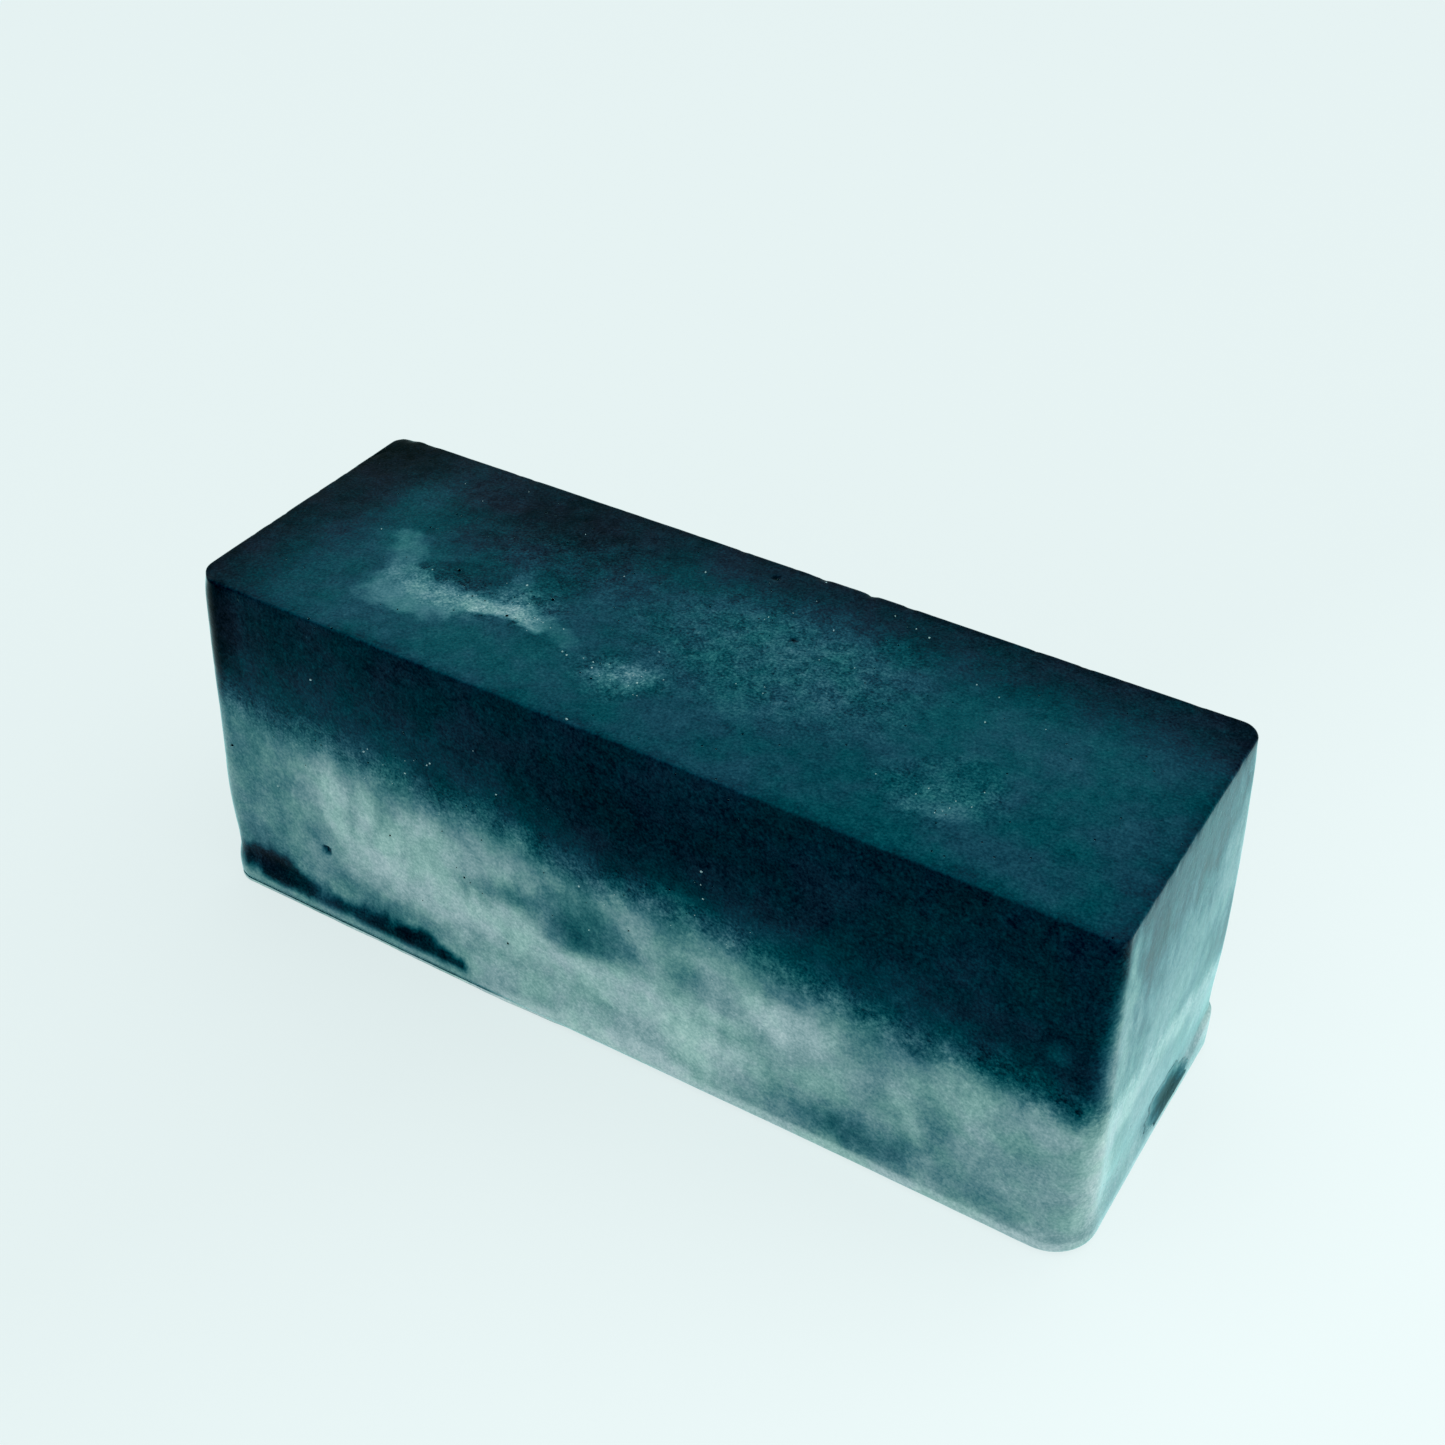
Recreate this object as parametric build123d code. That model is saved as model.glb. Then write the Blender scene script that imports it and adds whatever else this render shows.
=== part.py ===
from build123d import *

import os

# A jumbo block-shaped charcoal stick, cast in two layers in an open mould.
#
# The block is a plain bar that tapers a little from its base to its top, because the mould had draft, and
# bellies out a little between them. The dark, charcoal-rich layer is the top, and the pale, binder-rich
# layer is the base. They meet on a tilted plane, because the first pour set with the mould out of level.
# A thin lip of flash runs round the foot, where the pale pour crept up the mould's rim.
#
# Frame: millimetres, +Z up, +X along the block, origin at the middle of the base, which lies on Z = 0.

# The bar
TOP_LENGTH = 75.0
TOP_WIDTH = 25.0
HEIGHT = 30.4
END_LEAN = 0.90  # how much further out each end face stands at the base than at the top
SIDE_LEAN = 0.45  # the same for each long face
BELLY = 0.30  # how far every face swells out at half height
TOP_EDGE_RADIUS = 0.20
FOOT_EDGE_RADIUS = 0.45

# Plan radius of each upright corner as (x side, y side): (at the top, at the base)
CORNER_RADII = {
    (-1, -1): (2.0, 1.9),
    (1, -1): (1.2, 3.6),
    (1, 1): (1.5, 1.9),
    (-1, 1): (1.3, 1.8),
}

# The plane where the two layers meet
SEAM_HEIGHT = 14.4  # on the block's centre line
SEAM_RISE_ALONG = -0.067  # mm of rise for each mm along +X
SEAM_RISE_ACROSS = -0.22  # mm of rise for each mm along +Y

# The flash lip round the foot, as (height, how far it stands out from the block), from the base up
LIP_RINGS = [
    (0.00, -0.20),
    (0.45, 0.30),
    (0.95, 0.27),
    (1.70, 0.05),
]


def outline(z, grow=0.0):
    """The block's rounded plan outline at height z, grown outwards by a distance."""
    share = z / HEIGHT  # 0 at the base, 1 at the top
    grow += 4 * BELLY * share * (1 - share)
    length = TOP_LENGTH + 2 * END_LEAN * (1 - share) + 2 * grow
    width = TOP_WIDTH + 2 * SIDE_LEAN * (1 - share) + 2 * grow
    plan = Rectangle(length, width)
    for (x_side, y_side), (top_radius, base_radius) in CORNER_RADII.items():
        corner = Vector(x_side * length / 2, y_side * width / 2)
        nearest = min(plan.vertices(), key=lambda vertex: (Vector(vertex) - corner).length)
        plan = fillet(nearest, top_radius + (base_radius - top_radius) * (1 - share) ** 3 + grow)
    return Pos(0, 0, z) * plan


def block():
    """Both layers together: the tapered, bellied bar with its top and foot edges eased."""
    bar = loft([outline(0), outline(HEIGHT / 2), outline(HEIGHT)])
    bar = fillet(bar.faces().sort_by(Axis.Z)[-1].edges(), TOP_EDGE_RADIUS)
    return fillet(bar.faces().sort_by(Axis.Z)[0].edges(), FOOT_EDGE_RADIUS)


def seam_plane():
    """The tilted plane between the layers, facing up."""
    return Plane(
        origin=(0, 0, SEAM_HEIGHT),
        x_dir=(1, 0, SEAM_RISE_ALONG),
        z_dir=(-SEAM_RISE_ALONG, -SEAM_RISE_ACROSS, 1),
    )


def charcoal_layer(bar):
    """The dark upper pour."""
    return split(bar, bisect_by=seam_plane(), keep=Keep.TOP)


def pale_layer(bar):
    """The pale lower pour, which the block stands on."""
    return split(bar, bisect_by=seam_plane(), keep=Keep.BOTTOM)


def flash_lip(bar):
    """The thin rim of overflow round the foot: an undercut, a blunt edge, and a slope that dies away."""
    rings = [outline(height, reach) for height, reach in LIP_RINGS]
    lip = loft(rings, ruled=True)
    return lip - bar


def main():
    os.makedirs("parts", exist_ok=True)
    bar = block()
    nodes = {
        "charcoal_layer": charcoal_layer(bar),
        "pale_layer": pale_layer(bar),
        "flash_lip": flash_lip(bar),
    }
    for name, shape in nodes.items():
        export_step(shape, f"parts/{name}.step")


main()
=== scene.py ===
import itertools
import math

import bpy
import numpy as np
from mathutils import Matrix, Vector, noise


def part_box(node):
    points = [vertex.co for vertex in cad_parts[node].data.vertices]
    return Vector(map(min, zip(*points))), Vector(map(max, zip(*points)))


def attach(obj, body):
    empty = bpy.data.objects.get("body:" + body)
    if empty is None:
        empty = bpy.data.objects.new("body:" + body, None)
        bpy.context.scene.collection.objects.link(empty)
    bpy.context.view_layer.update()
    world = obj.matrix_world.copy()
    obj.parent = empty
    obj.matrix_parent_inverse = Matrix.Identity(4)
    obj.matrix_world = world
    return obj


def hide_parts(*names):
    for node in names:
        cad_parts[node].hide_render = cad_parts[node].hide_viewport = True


# A jumbo charcoal stick: a block cast in two layers, dark over pale, with a thin lip of flash round its
# foot. The block's skin is one continuous surface, cut at the plane between the layers into two closed
# meshes, so its waves, worn edges, nicks and pits run across the cut unbroken.
#
# Shapes are worked out in millimetres in the CAD frame: X along the block, Y across it, Z up.

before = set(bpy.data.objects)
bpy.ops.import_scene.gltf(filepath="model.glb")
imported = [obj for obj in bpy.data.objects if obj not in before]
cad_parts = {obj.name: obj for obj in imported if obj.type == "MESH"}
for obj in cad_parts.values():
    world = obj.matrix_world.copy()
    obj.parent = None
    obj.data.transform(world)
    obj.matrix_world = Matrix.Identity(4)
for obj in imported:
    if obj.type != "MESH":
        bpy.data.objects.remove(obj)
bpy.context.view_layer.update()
MM = 0.001  # in metres


# --- The plain block, from the frame --------------------------------------------------------------------

def box_mm(node):
    """A CAD node's lowest and highest corners in millimetres."""
    low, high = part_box(node)
    return np.array(low) / MM, np.array(high) / MM


# As in the CAD model. Corners run round the block from the front left one, seen from above.
LEAN = np.array([0.90, 0.45])  # how far the end faces and the long faces lean in from base to top
BELLY = 0.30  # how far every face swells out at half height
CORNER_SIDES = np.array([(-1, -1), (1, -1), (1, 1), (-1, 1)])
CORNER_RADIUS_TOP = np.array([2.0, 1.2, 1.5, 1.3])
CORNER_RADIUS_BASE = np.array([1.9, 3.6, 1.9, 1.8])
TOP_EDGE_RADIUS = 0.20
FOOT_EDGE_RADIUS = 0.75  # more than in the CAD model, for the crease over the lip
SEAM_HEIGHT = 14.4
SEAM_RISE = np.array([-0.067, -0.22])  # along X and along Y

# The sides of the plan, each from one corner to the next
SIDE_ALONG = np.array([(1, 0), (0, 1), (-1, 0), (0, -1)])
SIDE_OUT = np.array([(0, -1), (1, 0), (0, 1), (-1, 0)])

HEIGHT = box_mm("charcoal_layer")[1][2]
WIDEST_HALF = box_mm("pale_layer")[1][:2]  # half length and half width, where the belly meets the lean
TOP_HALF = WIDEST_HALF - (LEAN + 4 * BELLY) ** 2 / (16 * BELLY)
BASE_HALF = TOP_HALF + LEAN

# How finely the skin is divided
STEP = 0.30  # between neighbouring vertices
HALF_CORNER_STEPS = 6  # from a side to the middle of its corner
EDGE_STEPS = 5  # over a rounded edge
CORNERS_TAKE = 4.0  # about how much of a side its two corners take up
LENGTH_STEPS = round((2 * BASE_HALF[0] - CORNERS_TAKE) / STEP)
WIDTH_STEPS = round((2 * BASE_HALF[1] - CORNERS_TAKE) / STEP)


def plan_columns():
    """Every upright column of vertices: its corner before, its share of the way on, its outward direction."""
    corner, share, out = [], [], []
    for side in range(4):
        steps = LENGTH_STEPS if side % 2 == 0 else WIDTH_STEPS
        turns = np.linspace(-math.pi / 4, 0, HALF_CORNER_STEPS, endpoint=False)
        places = [(0.0, turn) for turn in turns]
        places += [(i / steps, 0.0) for i in range(steps + 1)]
        places += [(1.0, -turn) for turn in turns[:0:-1]]
        for place, turn in places:
            corner.append(side)
            share.append(place)
            out.append(math.cos(turn) * SIDE_OUT[side] + math.sin(turn) * SIDE_ALONG[side])
    return np.array(corner), np.array(share)[:, None], np.array(out)


CORNER_BEFORE, SHARE_ON, OUT = plan_columns()
COLUMNS = len(OUT)
GRID_X = LENGTH_STEPS + 2 * HALF_CORNER_STEPS
GRID_Y = WIDTH_STEPS + 2 * HALF_CORNER_STEPS


def outline(height):
    """The plan position of every column at a height, which is one number or one for each column."""
    share = np.broadcast_to(height, COLUMNS) / HEIGHT
    swell = (4 * BELLY * share * (1 - share))[:, None]
    half = BASE_HALF - np.outer(share, LEAN) + swell
    radii = CORNER_RADIUS_TOP + np.outer((1 - share) ** 3, CORNER_RADIUS_BASE - CORNER_RADIUS_TOP) + swell

    def round_corner(corner):
        radius = radii[np.arange(COLUMNS), corner][:, None]
        return CORNER_SIDES[corner] * (half - radius) + radius * OUT

    before, after = round_corner(CORNER_BEFORE), round_corner((CORNER_BEFORE + 1) % 4)
    return before + SHARE_ON * (after - before)


def seam_heights():
    """Where each column crosses the plane between the layers, found by trying again from a near guess."""
    height = SEAM_HEIGHT
    for _ in range(4):
        height = SEAM_HEIGHT + outline(height) @ SEAM_RISE
    return height


def wall_at(height, axis):
    """How far out the plain wall that faces along an axis stands at a height, away from its corners."""
    share = height / HEIGHT
    return BASE_HALF[axis] - LEAN[axis] * share + 4 * BELLY * share * (1 - share)


def skin_row(height, inset=0.0, tilt=0.0):
    """One ring of the skin: its vertices, and its outward normals, which tilt up by an angle."""
    places = outline(height) - inset * OUT
    points = np.column_stack([places, np.broadcast_to(height, COLUMNS)])
    normals = np.column_stack([math.cos(tilt) * OUT, np.full(COLUMNS, math.sin(tilt))])
    return points, normals


def upper_rows():
    """The charcoal layer's rings, from the seam up and over the top edge."""
    seam, wall_top = seam_heights(), HEIGHT - TOP_EDGE_RADIUS
    steps = round((HEIGHT - SEAM_HEIGHT) / STEP)
    rows = [skin_row(seam + (wall_top - seam) * i / steps) for i in range(steps)]
    for tilt in np.linspace(0, math.pi / 2, EDGE_STEPS + 1):
        rise, inset = TOP_EDGE_RADIUS * math.sin(tilt), TOP_EDGE_RADIUS * (1 - math.cos(tilt))
        rows.append(skin_row(wall_top + rise, inset, tilt))
    return rows


def lower_rows():
    """The pale layer's rings, from inside the foot edge up to the seam."""
    seam = seam_heights()
    steps = round(SEAM_HEIGHT / STEP)
    rows = []
    for tilt in np.linspace(-math.pi / 2, 0, EDGE_STEPS)[:-1]:
        rise, inset = FOOT_EDGE_RADIUS * (1 + math.sin(tilt)), FOOT_EDGE_RADIUS * (1 - math.cos(tilt))
        rows.append(skin_row(rise, inset, tilt))
    rows += [skin_row(FOOT_EDGE_RADIUS + (seam - FOOT_EDGE_RADIUS) * i / steps) for i in range(steps + 1)]
    return rows


# --- Noise and soft marks -------------------------------------------------------------------------------

SEED_STRIDE = Vector((17.13, -9.71, 5.37))  # how far each seed moves the noise
OCTAVE_FALL, OCTAVE_GAP = 1.0, 2.0  # how fast the finer octaves fade, and how much finer each one is


def clouds(points, size, octaves=3, seed=0):
    """Smooth fractal noise, about -1 to 1, with features up to about `size` millimetres."""
    shift = SEED_STRIDE * (seed + 1)
    places = (Vector(point) + shift for point in points / size)
    return np.array([noise.fractal(place, OCTAVE_FALL, OCTAVE_GAP, octaves) for place in places])


def ramp(value, start, end):
    """0 at start and 1 at end, eased at both."""
    share = np.clip((value - start) / (end - start), 0.0, 1.0)
    return share * share * (3 - 2 * share)


def bell(value, middle, width):
    """A smooth hump: 1 at its middle, and about a third at a width from it."""
    return np.exp(-(((value - middle) / width) ** 2))


def dab(u, v, centre, radii, turn=0.0, core=0.2, fray=0.0):
    """A soft oval mark on a face: 1 in its core, 0 from its radii out, turned by degrees, its edge frayed."""
    c, s = math.cos(math.radians(turn)), math.sin(math.radians(turn))
    du, dv = u - centre[0], v - centre[1]
    away = np.hypot((du * c + dv * s) / radii[0], (dv * c - du * s) / radii[1])
    return 1 - ramp(away + fray, core, 1.0)


def stroke(u, v, points, width, core=0.15, fray=0.0):
    """A soft line through some points of a face: 1 along its middle, 0 a width away, its edge frayed."""
    nearest = np.full(len(u), np.inf)
    for (u0, v0), (u1, v1) in zip(points, points[1:]):
        du, dv = u1 - u0, v1 - v0
        share = np.clip(((u - u0) * du + (v - v0) * dv) / (du * du + dv * dv), 0, 1)
        nearest = np.minimum(nearest, np.hypot(u - u0 - share * du, v - v0 - share * dv))
    return 1 - ramp(nearest / width + fray, core, 1.0)


def laid_on(tone, mark, target, strength=1.0):
    """The tone with a mark of another tone laid over it."""
    return tone + mark * strength * (target - tone)


def with_marks(tone, u, v, marks, fray=0.0):
    """The tone with a list of dabs laid on: (centre, radii, turn, tone, strength, and perhaps the core)."""
    for centre, radii, turn, target, strength, *core in marks:
        tone = laid_on(tone, dab(u, v, centre, radii, turn, *core, fray=fray), target, strength)
    return tone


# --- The cast pattern -----------------------------------------------------------------------------------
# A tone is how light the surface looks, 0 black to 1 white. Places on the top are (x, y), on the front and
# back (x, z), and on the ends (y, z). A mark is (centre, radii, turn in degrees, tone, strength), and perhaps
# the share of its radii where it is at full strength. Later marks lie over earlier ones.

FRONT_LEVEL = [  # where the dark pour gives way to the pale one on the front face
    (-37.5, 19.3), (-35, 19.2), (-30, 18.6), (-25, 19.2), (-20, 18.4), (-15, 18.0), (-10, 18.6), (-5, 17.0),
    (0, 16.6), (5, 17.3), (10, 16.9), (15, 15.8), (20, 15.4), (25, 14.8), (30, 15.4), (35, 15.1), (38, 14.8),
]
END_LEVEL = [  # and on the right end
    (-12.5, 16.2), (-9, 15.8), (-5, 14.8), (0, 14.0), (5, 12.7), (10, 10.9), (12.5, 10.0),
]
SOFT_UNTIL, HARD_FROM = 22.0, 32.0  # along X, on the front: the layers mix widely before, and less after

DARK_FRONT = [
    ((-36.5, 26), (4, 12), 0, 0.03, 0.9),
    ((-24, 24), (13, 7), 0, 0.160, 0.9),
    ((2, 23), (16, 7), 0, 0.115, 0.9),
    ((6, 21.5), (12, 3.5), 0, 0.100, 0.8),
    ((29, 21), (9, 7), 0, 0.175, 0.7),
    ((22, 19), (7, 3.5), 0, 0.17, 0.6),
    ((34.5, 19.9), (1.5, 1.3), 0, 0.24, 0.8, 0.0),
]

PALE_FRONT = [
    ((-33.5, 13.5), (5.5, 8.5), 0, 0.455, 0.85),
    ((-35.5, 15.0), (1.8, 3.5), 0, 0.40, 0.6),
    ((-32.0, 15.0), (1.2, 4.0), 0, 0.51, 0.6),
    ((-25.4, 14.0), (2.1, 5.4), 6, 0.70, 0.95, 0.5),
    ((-22.4, 14.5), (1.9, 4.6), 0, 0.68, 0.9, 0.3),
    ((-16.5, 13.2), (5.8, 4.8), 0, 0.69, 0.9),
    ((-19.0, 9.8), (9.5, 4.2), -6, 0.72, 0.9),
    ((-8.0, 8.0), (9.0, 3.2), -5, 0.71, 0.9),
    ((-13.0, 16.8), (3.5, 2.6), 0, 0.58, 0.7),
    ((-9.5, 16.6), (2.6, 2.6), 0, 0.60, 0.7),
    ((-4.2, 15.2), (2.1, 1.9), 0, 0.56, 0.8),
    ((-1.8, 15.4), (1.8, 1.8), 0, 0.54, 0.7),
    ((-9.0, 12.0), (3.6, 1.9), 15, 0.42, 0.9, 0.1),
    ((-2.6, 12.2), (7.4, 3.4), -4, 0.35, 0.9, 0.1),
    ((-2.0, 10.7), (4.0, 2.8), 8, 0.27, 0.9, 0.0),
    ((3.0, 13.9), (1.9, 2.8), 0, 0.57, 0.85),
    ((1.2, 11.4), (2.4, 2.4), 0, 0.40, 0.7, 0.0),
    ((6.5, 11.8), (3.2, 2.2), 10, 0.44, 0.8, 0.1),
    ((2.0, 7.6), (9.0, 3.5), 3, 0.72, 0.9),
    ((8.0, 5.2), (7.5, 4.0), 0, 0.74, 0.9),
    ((9.6, 9.2), (3.6, 1.9), 0, 0.70, 0.85),
    ((-14.5, 7.5), (6.5, 3.0), 0, 0.72, 0.7),
    ((14.5, 11.4), (5.8, 2.8), 0, 0.73, 0.9),
    ((9.5, 13.5), (3.0, 2.2), 0, 0.62, 0.7),
    ((21.0, 12.8), (2.2, 3.0), 0, 0.48, 0.7),
    ((24.6, 10.0), (1.8, 3.5), 0, 0.61, 0.7),
    ((27.3, 8.2), (2.4, 4.8), 12, 0.46, 0.8, 0.0),
    ((30.2, 11.0), (2.8, 4.6), 0, 0.65, 0.8),
    ((35.2, 12.0), (2.6, 3.6), 0, 0.65, 0.7),
    ((33.6, 8.0), (1.6, 3.0), 0, 0.54, 0.5),
    ((16.0, 7.5), (6.0, 2.6), 0, 0.60, 0.6),
    ((22.0, 7.5), (3.0, 2.0), 0, 0.52, 0.6),
    ((25.0, 5.4), (3.4, 2.4), 0, 0.42, 0.75, 0.0),
    ((25.2, 14.3), (3.0, 1.6), 0, 0.34, 0.7, 0.0),
    ((-4.0, 3.4), (12.0, 2.6), 0, 0.66, 0.85),
    ((21.5, 3.6), (9.5, 3.2), 2, 0.40, 0.9, 0.1),
    ((20.5, 3.2), (5.5, 1.6), 0, 0.34, 0.8, 0.0),
    ((30.5, 3.5), (5.0, 2.0), 0, 0.47, 0.7),
    ((-29.5, 5.6), (2.6, 1.6), 0, 0.56, 0.7),
    ((-27.6, 8.9), (2.6, 2.4), 0, 0.47, 0.6),
    ((-34.0, 5.4), (5.5, 3.2), 0, 0.36, 0.7),
    ((-25.0, 5.4), (5.0, 2.0), -4, 0.40, 0.75, 0.0),
    ((-21.0, 4.4), (8.0, 2.0), 0, 0.38, 0.7, 0.0),
    ((-34.2, 3.0), (6.2, 3.1), -3, 0.14, 0.85, 0.1),
    ((-33.6, 3.2), (4.6, 2.1), -3, 0.07, 1.0, 0.25),
    ((-30.6, 2.5), (4.0, 2.2), 4, 0.11, 0.95, 0.2),
    ((-27.0, 2.1), (3.6, 1.7), 0, 0.18, 0.9, 0.2),
    ((-23.4, 2.3), (4.2, 2.5), -3, 0.12, 0.95, 0.2),
    ((-19.0, 2.1), (4.8, 2.1), -3, 0.08, 1.0, 0.3),
    ((-15.8, 1.8), (2.6, 1.5), 0, 0.13, 0.95, 0.3),
    ((2.0, 1.6), (11.0, 1.8), 0, 0.77, 0.8),
]

# painted sheen: the dark pour on the right end is painted far paler than on the front, most of all towards
# the seam, to stand in for the grazing sheen on it
DARK_END = [
    ((0, 28.6), (16, 5.5), 0, 0.33, 0.85),
    ((0, 18), (16, 10), -6, 0.57, 0.9),
    ((9, 21), (5, 9), 0, 0.63, 0.8),
    ((-10.8, 22), (4, 11), 0, 0.64, 0.9),
    ((12.5, 23), (3.5, 9), 0, 0.71, 0.8),
    ((-12.6, 28), (1.2, 8), 0, 0.10, 0.7),
]

PALE_END = [
    ((-8, 12.5), (8, 3.6), 0, 0.79, 0.9),
    ((2, 11.0), (8, 2.4), -14, 0.77, 0.9),
    ((9, 8.0), (5, 4.0), -14, 0.72, 0.9),
    ((-5.5, 8.2), (4.0, 2.2), -10, 0.67, 0.8),
    ((0.5, 8.0), (4.5, 2.2), -10, 0.57, 0.8),
    ((1, 5.5), (7, 2.5), 0, 0.57, 0.8),
    ((-9, 5), (4, 5), 0, 0.70, 0.6),
    ((-7.5, 6.6), (3.0, 1.2), 0, 0.60, 0.7),
    ((-1.0, 4.6), (4.0, 1.8), -20, 0.40, 0.8, 0.1),
    ((1.8, 3.2), (5.2, 3.2), -24, 0.30, 0.8, 0.3),
    # painted sheen: paler by the near corner, where the end's grazing sheen falls off as the corner turns
    ((-11.5, 8.0), (2.8, 8.0), 0, 0.81, 0.85, 0.3),
    ((12.0, 10.5), (3.2, 3.4), 0, 0.80, 0.8),
    ((11.0, 3.0), (3.0, 3.2), 0, 0.84, 0.9),
]

PALE_BACK = [
    ((20, 6), (12, 3.2), 0, 0.66, 0.8),
    ((-2, 8), (5, 3.0), 0, 0.4, 0.8),
    ((-18, 9), (9, 3.8), 0, 0.66, 0.8),
    ((-30, 4), (6, 2.6), 0, 0.45, 0.7),
    ((4, 2.4), (9, 1.8), 0, 0.3, 0.8),
]

PALE_LEFT = [
    ((-5, 12), (5, 5), 0, 0.62, 0.8),
    ((6, 8), (5, 4), 0, 0.52, 0.8),
    ((-8, 2.5), (5, 2.6), 0, 0.12, 0.9, 0.3),
    ((4, 3.4), (6, 1.8), 0, 0.4, 0.7),
]

TOP_FILM = [
    ((-18, 6), (15, 8), 0, 0.135, 0.8),
    ((-33, 4), (6, 10), 0, 0.14, 0.5, 0.0),
    ((-15, -8.5), (15, 4), 0, 0.285, 0.7),
    ((6, 2.0), (12, 8.5), 0, 0.315, 0.8),
    ((24, 0.5), (14, 8), 0, 0.285, 0.6),
    ((-29.4, 5.3), (2.6, 4.2), 20, 0.25, 0.8),
    ((-14.6, -2.0), (2.6, 2.4), 0, 0.40, 0.75),
    ((-15.6, -0.2), (1.4, 2.2), 20, 0.33, 0.7),
    ((-2.9, -6.0), (4.4, 2.7), 8, 0.40, 0.9),
    ((5.2, -4.6), (3.6, 2.3), 0, 0.325, 0.7),
    ((22.0, -6.2), (4.4, 2.6), 12, 0.345, 0.8),
    ((23.0, -7.2), (2.6, 1.2), 12, 0.36, 0.7),
    ((-21.2, -5.2), (6.0, 3.6), 5, 0.425, 1.0, 0.55),
    ((-20.0, -5.2), (4.8, 2.4), 6, 0.45, 0.8),
    ((-13.6, -3.5), (4.2, 1.7), 5, 0.50, 0.9, 0.3),
]

OVER_SMUDGE = [((-20.0, -1.9), (4.4, 2.2), 0, 0.19, 0.85, 0.6)]

SMUDGE = [  # the strokes of the rubbed smudge: line, width, tone, strength
    ([(-26.6, 0.2), (-25.6, -1.4), (-24.8, -2.8), (-24.2, -4.8)], 1.8, 0.40, 0.85),
    ([(-22.6, -5.0), (-20, -5.5), (-17, -4.9), (-14.5, -4.2), (-11.2, -4.3)], 0.95, 0.49, 0.85),
    ([(-17.0, -4.5), (-14.0, -3.8), (-11.6, -4.3)], 1.1, 0.62, 0.75),
    ([(-11.4, -3.8), (-8.4, -4.4)], 1.2, 0.36, 0.75),
]

BROKEN_TOP = [  # where the top's film has broken into flakes and specks: centre, radii, turn, how much
    ((5, 1.5), (19, 12), 0, 0.8),
    ((-3, -6), (6, 4), 8, 1.0),
    ((22, -5), (8, 6), 12, 0.65),
    ((-20, -3.8), (9, 4.5), 0, 0.9),
    ((-14, -2.5), (5.5, 4), 0, 1.0),
    ((-14, 4), (15, 9), 0, 0.5),
]


SWIRL_SIZE, CURL_SIZE = 5.0, 1.3
CURL_SHARE = 0.35  # how far the small curls push, for each millimetre that the swirls do


def wisped(points, amount, seed):
    """The points, swirled a little, so that marks laid on them get wispy edges."""
    swirls = np.column_stack([clouds(points, SWIRL_SIZE, seed=seed + axis) for axis in range(3)])
    curls = np.column_stack([clouds(points, CURL_SIZE, seed=seed + 3 + axis) for axis in range(3)])
    return points + amount * swirls + CURL_SHARE * amount * curls


def level_at(place, levels):
    """The height at a place on a line of (place, height) points."""
    return np.interp(place, *np.array(levels).T)


TOP_TONE = 0.25  # before its marks
BACK_SHADE, LEFT_SHADE, RIGHT_SHADE, RIM_SHADE = 0.115, 0.15, 0.03, 0.04  # painted shade: how much darker the top is made towards its edges


def top_tone(points):
    """The dusty film on the top face, with its rubbed smudge, and painted shade darkening it towards its
    edges.
    """
    x, y, _ = wisped(points, 0.65, 10).T
    fray = 0.20 * clouds(points, 1.2, seed=61)
    patchy = 1 + 0.5 * clouds(points, 1.0, 2, seed=17)
    tone = with_marks(np.full(len(x), TOP_TONE), x, y, TOP_FILM, fray)
    for line, width, target, strength in SMUDGE:
        rubbed = np.clip(stroke(x, y, line, width, 0.3, fray) * patchy, 0, 1)
        tone = laid_on(tone, rubbed, target, strength)
    tone = with_marks(tone, x, y, OVER_SMUDGE, fray)
    half_x, half_y = TOP_HALF
    # painted shade: the top darkens towards its back, left and right edges and along its rim
    back = 1 - ramp(half_y - y, 0.5, 8.5)
    left = 1 - ramp(half_x + x, -1.0, 9.5)
    right = 1 - ramp(half_x - x, 0.0, 5.5)
    rim = 1 - ramp(np.minimum(half_x - np.abs(x), half_y - np.abs(y)), 0.2, 1.2)
    return tone - BACK_SHADE * back - LEFT_SHADE * left - RIGHT_SHADE * right - RIM_SHADE * rim


STAIN_AND_SHADOW_UNTIL, STAIN_AND_SHADOW_GONE_FROM = -14.0, -8.0  # along X, at the foot: where its stain and the painted shadow in its crease fade out


def foot_stain_and_shadow(points):
    """Where the foot is stained, with painted shadow in the crease over the lip: 1 to the left, 0 to the
    right.
    """
    return 1 - ramp(points[:, 0], STAIN_AND_SHADOW_UNTIL, STAIN_AND_SHADOW_GONE_FROM)


DARK_TONE, PALE_TONE = 0.14, 0.58  # of the two pours, before their marks
MURK = 0.075  # how much paler the dark pour gets, close to the pale one
STRIP_UNTIL, STRIP_GONE = 1.2, 1.75  # the heights between which the strip along the foot fades out
STRIP_TONE, STRIP_STAIN = 0.75, 0.19  # its tone, and how much darker it is where the foot is stained
STREAKS = (1.0, 1.0, 0.45)  # draws the sides' noise out upwards
SIDE_SEED = 20


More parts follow.
